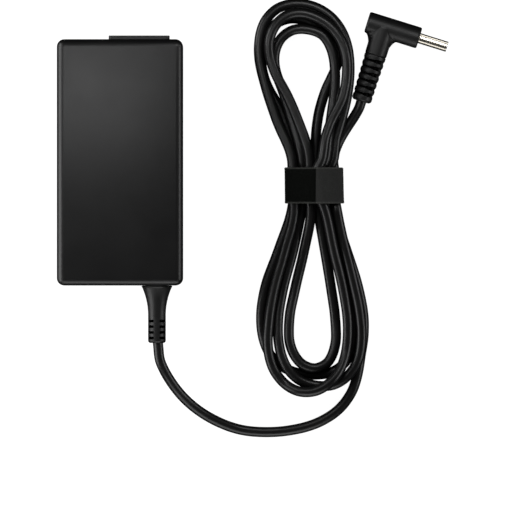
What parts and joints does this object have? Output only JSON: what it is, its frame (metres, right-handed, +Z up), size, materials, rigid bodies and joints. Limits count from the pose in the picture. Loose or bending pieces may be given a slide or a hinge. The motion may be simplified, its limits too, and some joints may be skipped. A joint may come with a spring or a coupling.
{
  "type": "laptop power adapter",
  "caption": "Black brick power supply with a strap-bound output cable and a right-angle barrel plug, lying flat.",
  "frame": {"origin": "centre of the case's resting face", "axes": "+Z up from the resting face, +Y towards the mains inlet, +X from the case towards the wound cable"},
  "size_m": [0.1681, 0.1881, 0.029],
  "materials": {
    "case_plastic": "satin black injection moulding, fine texture",
    "label_film": "blank printed film",
    "inlet_plastic": "matt black",
    "nickel": "nickel plate",
    "wire_insulation": "coloured insulation",
    "board_laminate": "green solder mask",
    "insulating_film": "translucent film",
    "aluminium_sheet": "mill finish",
    "thermal_pad": "soft silicone pad",
    "component_plastic": "moulded package",
    "disc_coating": "dipped coating",
    "film_capacitor": "moulded box",
    "ferrite": "ground ferrite",
    "copper_wire": "enamelled copper",
    "capacitor_sleeve": "shrink sleeve",
    "steel_screw": "zinc plate",
    "bobbin_plastic": "moulded bobbin",
    "winding_tape": "polyester tape over copper",
    "boot_rubber": "soft black moulding",
    "cable_jacket": "satin black jacket",
    "strap_tape": "tightly woven black tape",
    "strap_loop": "brushed black loop fabric",
    "strap_hook": "black hook tape",
    "plug_plastic": "satin black overmould"
  },
  "bodies": {
    "adapter": {"top_cover": "case_plastic", "bottom_cover": "case_plastic", "rating_label": "label_film", "ac_inlet_housing": "inlet_plastic", "inlet_pins": "nickel", "mains_wires": "wire_insulation", "circuit_board": "board_laminate", "insulating_sheet": "insulating_film", "bottom_heat_spreader": "aluminium_sheet", "top_heat_spreader": "aluminium_sheet", "thermal_pad": "thermal_pad", "fuse": "component_plastic", "thermistor": "disc_coating", "x_capacitor": "film_capacitor", "choke_core": "ferrite", "choke_windings": "copper_wire", "bridge_rectifier": "component_plastic", "bulk_capacitor": "capacitor_sleeve", "primary_heatsink": "aluminium_sheet", "primary_transistor": "component_plastic", "heatsink_screws": "steel_screw", "transformer_core": "ferrite", "transformer_bobbin": "bobbin_plastic", "transformer_winding": "winding_tape", "y_capacitor": "disc_coating", "optocoupler": "component_plastic", "controller_chip": "component_plastic", "secondary_heatsink": "aluminium_sheet", "output_rectifier": "component_plastic", "output_capacitors": "capacitor_sleeve", "output_choke_core": "ferrite", "output_choke_winding": "copper_wire", "output_wires": "wire_insulation", "cable_boot": "boot_rubber", "cable_lead": "cable_jacket"},
    "coil": {"cable_coil": "cable_jacket", "strap_band": "strap_tape"},
    "flap": {"strap_flap": "strap_loop", "strap_hooks": "strap_hook"},
    "plug": {"cable_tail": "cable_jacket", "plug_housing": "plug_plastic", "plug_boot": "boot_rubber", "plug_barrel": "nickel", "plug_insulator": "plug_plastic", "plug_inner_sleeve": "nickel", "plug_centre_pin": "nickel"}
  },
  "joints": [
    {"name": "lead_bend", "type": "hinge", "parent": "adapter", "child": "coil", "pos_m": [0.0171, -0.0848, 0.01418], "axis": [0, 0, 1], "range_deg": [-40, 8]},
    {"name": "strap_peel", "type": "hinge", "parent": "coil", "child": "flap", "pos_m": [0.0964, -0.0098, 0.0042], "axis": [0, 1, 0], "range_deg": [0, 100]},
    {"name": "plug_swing", "type": "hinge", "parent": "coil", "child": "plug", "pos_m": [0.0987, 0.017, 0.00316], "axis": [0, 0, 1], "range_deg": [-70, 0]}
  ]
}
